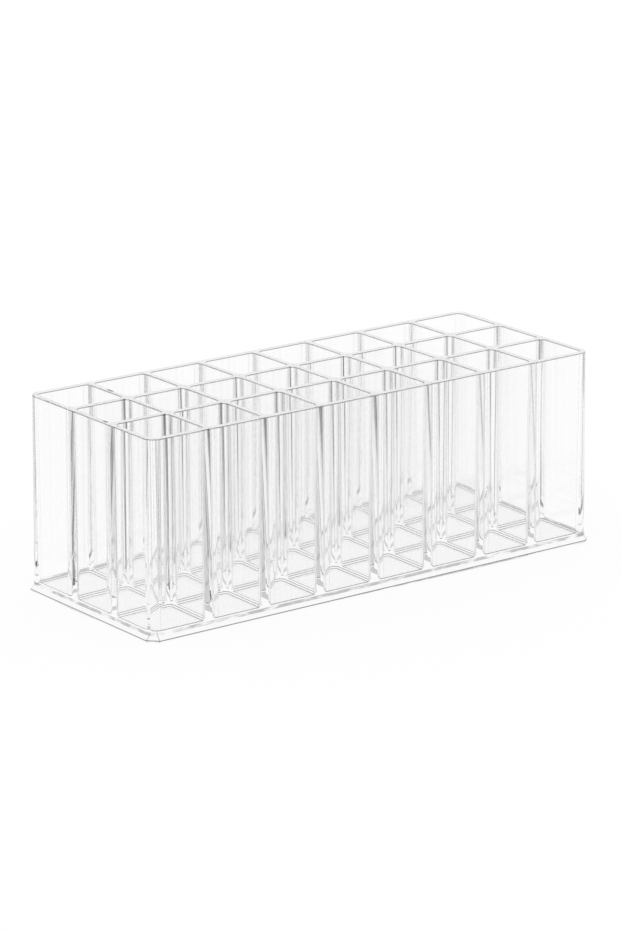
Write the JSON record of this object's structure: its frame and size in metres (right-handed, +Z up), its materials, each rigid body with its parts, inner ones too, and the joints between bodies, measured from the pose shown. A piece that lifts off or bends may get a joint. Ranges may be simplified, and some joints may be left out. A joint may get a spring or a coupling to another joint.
{
  "type": "vanity organizer",
  "caption": "Clear divided vanity organizer: an open-topped block of upright square cells for lipsticks and brushes, with lapped dividers in a drafted shell on a bevelled base tray.",
  "frame": {"origin": "centre of the foot's underside, on the surface the organizer stands on", "axes": "+X along the length, +Y to the back, +Z up to the open rim"},
  "size_m": [0.2222, 0.0886, 0.081],
  "materials": {
    "clear_base": "clear colourless polished plastic",
    "clear_shell": "clear colourless polished plastic",
    "clear_dividers": "clear colourless polished plastic"
  },
  "bodies": {
    "root": {"base_tray": "clear_base", "outer_shell": "clear_shell", "long_divider_front": "clear_dividers", "long_divider_back": "clear_dividers", "cross_divider_1": "clear_dividers", "cross_divider_2": "clear_dividers", "cross_divider_3": "clear_dividers", "cross_divider_4": "clear_dividers", "cross_divider_5": "clear_dividers", "cross_divider_6": "clear_dividers", "cross_divider_7": "clear_dividers"}
  },
  "joints": []
}
